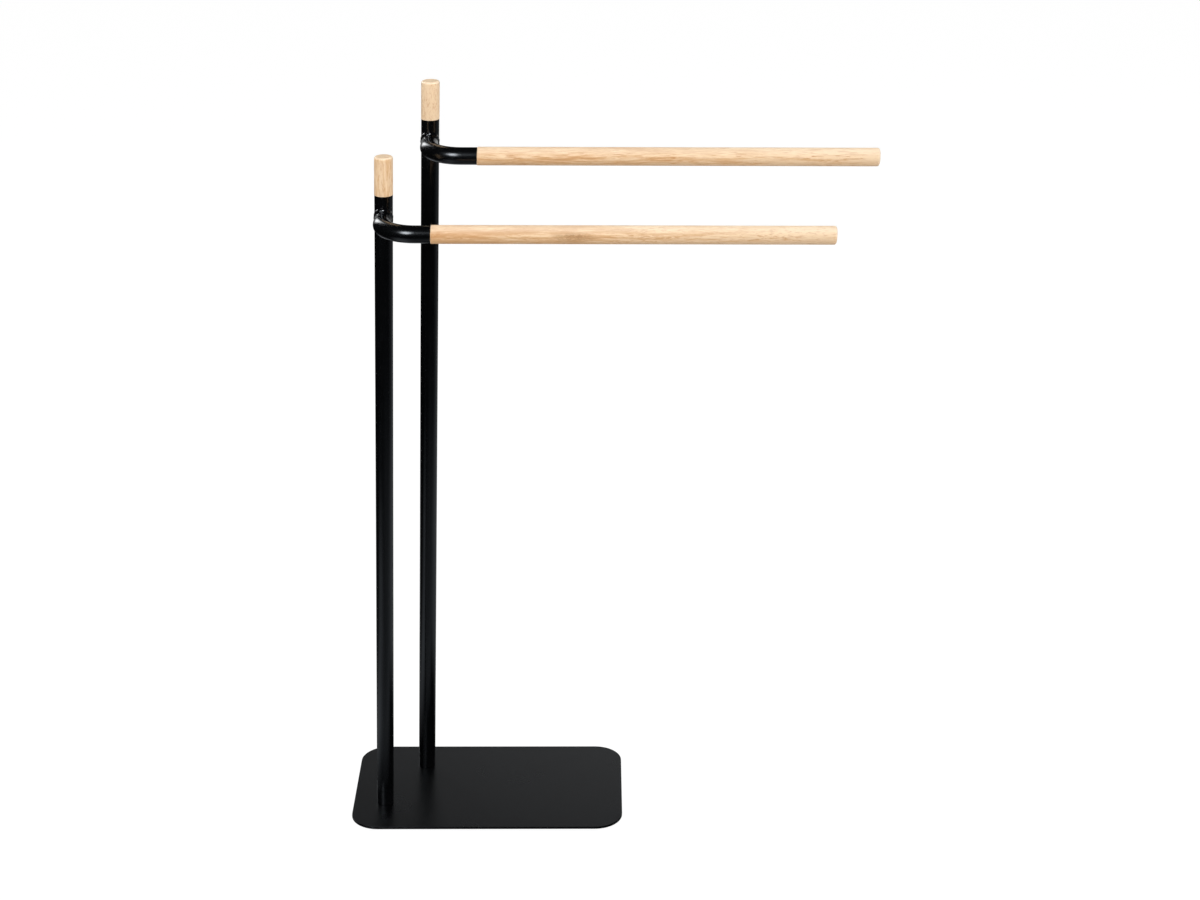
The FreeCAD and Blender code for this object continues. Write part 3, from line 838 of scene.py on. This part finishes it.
def makeFloor():
    half = studio["floorSize"] / 2
    mesh = bpy.data.meshes.new("studioFloor")
    corners = [(x, y, -studio["floorDrop"])
               for x, y in ((-half, -half), (half, -half), (half, half), (-half, half))]
    mesh.from_pydata(corners, [], [(0, 1, 2, 3)])
    floor = bpy.data.objects.new("studioFloor", mesh)
    bpy.context.scene.collection.objects.link(floor)
    material = bpy.data.materials.new("floorWhite")
    material.use_nodes = True
    tree = material.node_tree
    tree.nodes.remove(tree.nodes["Principled BSDF"])
    grey = studio["floorColour"]
    matt = addNode(tree, "ShaderNodeBsdfDiffuse", {"Color": (grey, grey, grey, 1)}).outputs[0]
    glow = addNode(tree, "ShaderNodeEmission", {"Strength": studio["floorGlow"]}).outputs[0]
    seen = mixShaders(tree, studio["floorWhite"], matt, glow)
    # from below, the camera looks through the floor at the pads and screw heads
    behind = addNode(tree, "ShaderNodeNewGeometry").outputs["Backfacing"]
    clear = addNode(tree, "ShaderNodeBsdfTransparent").outputs[0]
    seen = mixShaders(tree, behind, seen, clear)
    shader = splitByRay(tree, matt, floorInGloss(tree), seen)
    tree.links.new(shader, tree.nodes["Material Output"].inputs["Surface"])
    mesh.materials.append(material)


def makeWorld():
    world = bpy.data.worlds.new("studioWorld")
    bpy.context.scene.world = world
    world.use_nodes = True
    tree = world.node_tree
    tree.nodes.clear()
    skies = []
    for strength in (studio["sky"], studio["skyInGloss"], 1.0):
        inputs = {"Color": plainWhite, "Strength": strength}
        skies.append(addNode(tree, "ShaderNodeBackground", inputs).outputs[0])
    addNode(tree, "ShaderNodeOutputWorld", {"Surface": splitByRay(tree, *skies)})


# Softboxes round the stand: azimuth 0 is towards the camera, and negative is left. Each is aimed
# at the point "aim" of the stand. The low card behind the stand gives the plate its sheen.
softboxes = {
    "key": {"azimuth": -28, "elevation": 30, "distance": 2.2, "size": (1.55, 1.75), "radiance": 6.2,
            "aim": (-0.2, -0.05, 0.7), "inGloss": True},
    "overhead": {"azimuth": 20, "elevation": 82, "distance": 2.4, "size": (2.2, 2.2), "radiance": 1.6,
                 "aim": (0, 0, 0.5), "inGloss": False},
    "fill": {"azimuth": 78, "elevation": 10, "distance": 2.6, "size": (2.0, 2.0), "radiance": 3.3,
             "aim": (0, 0, 0.7), "inGloss": False},
    "rim": {"azimuth": -146, "elevation": 18, "distance": 2.2, "size": (0.9, 1.8), "radiance": 2.6,
            "aim": (-0.2, -0.05, 0.7), "inGloss": True},
    "backCard": {"azimuth": 171, "elevation": 0, "distance": 1.3, "size": (3.2, 1.1), "radiance": 0.205,
                 "aim": (0.05, 0, 0.62), "inGloss": True},
}
panelMiddle = 2.6             # how much brighter a panel's middle is than a plain panel


# A one-sided panel of the radiance given. The panels that gloss sees fall off towards their edge,
# as cloth over a lamp does.
def makeSoftbox(name, azimuth, elevation, distance, size, radiance, aim, inGloss):
    lamp = bpy.data.lights.new(name, "AREA")
    lamp.shape = "RECTANGLE"
    lamp.size, lamp.size_y = size
    lamp.energy = radiance * math.pi * size[0] * size[1]
    if inGloss:
        lamp.use_nodes = True
        tree = lamp.node_tree
        onPanel = addNode(tree, "ShaderNodeNewGeometry").outputs["Parametric"]
        offset = calcVector(tree, "SUBTRACT", onPanel, (0.5, 0.5, 0.0))
        strength = remap(tree, calcVector(tree, "LENGTH", offset), 0.0, 0.5, panelMiddle, 0.0)
        tree.links.new(strength, tree.nodes["Emission"].inputs["Strength"])
    box = bpy.data.objects.new(name, lamp)
    bpy.context.scene.collection.objects.link(box)
    turn = math.radians(azimuth)
    rise = math.radians(elevation)
    way = Vector((math.sin(turn) * math.cos(rise), -math.cos(turn) * math.cos(rise), math.sin(rise)))
    box.location = Vector(aim) + way * distance
    box.rotation_mode = "QUATERNION"
    box.rotation_quaternion = way.to_track_quat("Z", "Y")
    box.visible_camera = False
    box.visible_glossy = inGloss


# The camera's place and angles follow from the photograph's lines. The photograph leans a
# little: its verticals and its horizontals aren't square to each other, which shear repeats.
camera = {
    "place": (-0.04249, -2.32777, 1.39783),
    "pitch": 22.624,
    "yaw": 0.916,
    "roll": 0.391,
    "imageWidth": 1200,       # pixels
    "focal": 2330.16,         # pixels
    "sensor": 36,             # millimetres
    "shear": -0.02866,
    "near": 0.05,
    "far": 60,
}


# The camera stands under an empty, and its parent inverse holds the shear.
def makeCamera():
    pitch, yaw, roll = [math.radians(camera[name]) for name in ("pitch", "yaw", "roll")]
    ahead = Vector((math.sin(yaw) * math.cos(pitch), math.cos(yaw) * math.cos(pitch), -math.sin(pitch)))
    level = ahead.cross(Vector((0, 0, 1))).normalized()
    upright = level.cross(ahead)
    right = level * math.cos(roll) + upright * math.sin(roll)
    up = upright * math.cos(roll) - level * math.sin(roll)
    lens = bpy.data.cameras.new("photoCamera")
    lens.sensor_width = camera["sensor"]
    lens.lens = camera["focal"] / camera["imageWidth"] * camera["sensor"]
    lens.clip_start = camera["near"]
    lens.clip_end = camera["far"]
    view = bpy.data.objects.new("photoCamera", lens)
    bpy.context.scene.collection.objects.link(view)
    place = Vector(camera["place"])
    square = Matrix((right, up, -ahead)).transposed().to_4x4()
    square.translation = place
    leaning = Matrix((right, up + right * camera["shear"], -ahead)).transposed().to_4x4()
    leaning.translation = place
    stand = bpy.data.objects.new("cameraStand", None)
    bpy.context.scene.collection.objects.link(stand)
    view.parent = stand
    view.matrix_parent_inverse = leaning @ square.inverted()
    view.matrix_basis = square
    bpy.context.scene.camera = view


makeFloor()
makeWorld()
for name, settings in softboxes.items():
    makeSoftbox(name, **settings)
makeCamera()
bpy.context.scene.view_settings.view_transform = "Standard"
print("stage 5: floor, light and camera are set")
